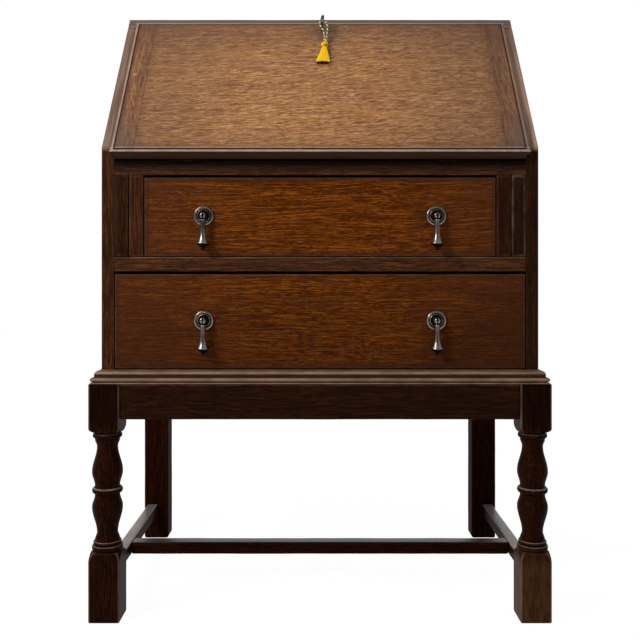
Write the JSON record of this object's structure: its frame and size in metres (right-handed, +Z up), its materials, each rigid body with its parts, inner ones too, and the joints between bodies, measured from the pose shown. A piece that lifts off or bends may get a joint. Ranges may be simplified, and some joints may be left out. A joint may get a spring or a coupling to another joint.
{
  "type": "writing bureau",
  "caption": "Slant-front oak writing bureau with a drop-down fall, pull-out lopers, drawers with pear-drop handles and a stand with turned front legs.",
  "frame": {"origin": "on the floor, under the middle of the bureau's bounding box", "axes": "+X to the right of someone facing the bureau, +Y from its front to its back, +Z up"},
  "size_m": [0.751, 0.4726, 1.044],
  "materials": {
    "dark_oak": "dark stained and waxed",
    "fall_oak": "golden brown stain, waxed and worn",
    "drawer_oak": "reddish brown stain, waxed",
    "inner_oak": "unstained",
    "antique_brass": "dark patina, rubbed bright on the high points",
    "hinge_brass": "dull",
    "key_steel": "worn",
    "tassel_silk": "silk threads"
  },
  "bodies": {
    "carcass": {"side_left": "dark_oak", "side_right": "dark_oak", "top_board": "dark_oak", "case_floor": "dark_oak", "drawer_rail": "dark_oak", "partition_left": "dark_oak", "partition_right": "dark_oak", "moulding_front": "dark_oak", "moulding_left": "dark_oak", "moulding_right": "dark_oak", "front_leg_left": "dark_oak", "front_leg_right": "dark_oak", "back_leg_left": "dark_oak", "back_leg_right": "dark_oak", "front_apron": "dark_oak", "back_rail": "dark_oak", "end_rail_left": "dark_oak", "end_rail_right": "dark_oak", "end_stretcher_left": "dark_oak", "end_stretcher_right": "dark_oak", "cross_stretcher": "dark_oak", "back_panel": "inner_oak", "dust_board": "inner_oak", "pigeonhole_shelf": "inner_oak", "pigeonhole_divider_1": "inner_oak", "pigeonhole_divider_2": "inner_oak", "pigeonhole_divider_3": "inner_oak", "writing_bed": "fall_oak", "bed_leaf_left": "hinge_brass", "bed_leaf_right": "hinge_brass"},
    "fall": {"fall_panel": "fall_oak", "fall_cleat_left": "fall_oak", "fall_cleat_right": "fall_oak", "fall_leaf_left": "hinge_brass", "fall_leaf_right": "hinge_brass", "lock_case": "hinge_brass"},
    "key": {"key": "key_steel"},
    "bolt": {"lock_bolt": "key_steel"},
    "tassel": {"tassel": "tassel_silk", "tassel_cord": "tassel_silk"},
    "left_loper": {"loper_left": "dark_oak"},
    "right_loper": {"loper_right": "dark_oak"},
    "upper_drawer": {"upper_drawer_front": "drawer_oak", "upper_drawer_side_left": "inner_oak", "upper_drawer_side_right": "inner_oak", "upper_drawer_back": "inner_oak", "upper_drawer_bottom": "inner_oak", "handle_plate_upper_drawer_left": "antique_brass", "handle_plate_upper_drawer_right": "antique_brass"},
    "upper_drawer_drop_left": {"handle_drop_upper_drawer_left": "antique_brass"},
    "upper_drawer_drop_right": {"handle_drop_upper_drawer_right": "antique_brass"},
    "lower_drawer": {"lower_drawer_front": "drawer_oak", "lower_drawer_side_left": "inner_oak", "lower_drawer_side_right": "inner_oak", "lower_drawer_back": "inner_oak", "lower_drawer_bottom": "inner_oak", "handle_plate_lower_drawer_left": "antique_brass", "handle_plate_lower_drawer_right": "antique_brass"},
    "lower_drawer_drop_left": {"handle_drop_lower_drawer_left": "antique_brass"},
    "lower_drawer_drop_right": {"handle_drop_lower_drawer_right": "antique_brass"}
  },
  "joints": [
    {"name": "fall_hinge", "type": "hinge", "parent": "carcass", "child": "fall", "pos_m": [0, -0.2161, 0.752], "axis": [1, 0, 0], "range_deg": [0, 126]},
    {"name": "key_turn", "type": "hinge", "parent": "fall", "child": "key", "pos_m": [0.004, -0.05288, 1.01663], "axis": [0, -0.809, 0.5878], "range_deg": [0, 90]},
    {"name": "bolt_slide", "type": "slide", "parent": "fall", "child": "bolt", "axis": [0, 0.5878, 0.809], "range_m": [0, 0.012]},
    {"name": "tassel_swing", "type": "hinge", "parent": "key", "child": "tassel", "pos_m": [0.004, -0.07181, 1.02631], "axis": [-1, 0, 0], "range_deg": [0, 110]},
    {"name": "left_loper_slide", "type": "slide", "parent": "carcass", "child": "left_loper", "axis": [0, -1, 0], "range_m": [0, 0.25]},
    {"name": "right_loper_slide", "type": "slide", "parent": "carcass", "child": "right_loper", "axis": [0, -1, 0], "range_m": [0, 0.25]},
    {"name": "upper_drawer_slide", "type": "slide", "parent": "carcass", "child": "upper_drawer", "axis": [0, -1, 0], "range_m": [0, 0.28]},
    {"name": "upper_drawer_drop_left_swing", "type": "hinge", "parent": "upper_drawer", "child": "upper_drawer_drop_left", "pos_m": [-0.1905, -0.2276, 0.66125], "axis": [-1, 0, 0], "range_deg": [0, 90]},
    {"name": "upper_drawer_drop_right_swing", "type": "hinge", "parent": "upper_drawer", "child": "upper_drawer_drop_right", "pos_m": [0.1905, -0.2276, 0.66125], "axis": [-1, 0, 0], "range_deg": [0, 90]},
    {"name": "lower_drawer_slide", "type": "slide", "parent": "carcass", "child": "lower_drawer", "axis": [0, -1, 0], "range_m": [0, 0.28]},
    {"name": "lower_drawer_drop_left_swing", "type": "hinge", "parent": "lower_drawer", "child": "lower_drawer_drop_left", "pos_m": [-0.1905, -0.2276, 0.48985], "axis": [-1, 0, 0], "range_deg": [0, 90]},
    {"name": "lower_drawer_drop_right_swing", "type": "hinge", "parent": "lower_drawer", "child": "lower_drawer_drop_right", "pos_m": [0.1905, -0.2276, 0.48985], "axis": [-1, 0, 0], "range_deg": [0, 90]}
  ],
  "couplings": [
    {"joint": "bolt_slide", "follows": "key_turn", "m_per_rad": 0.0076}
  ]
}
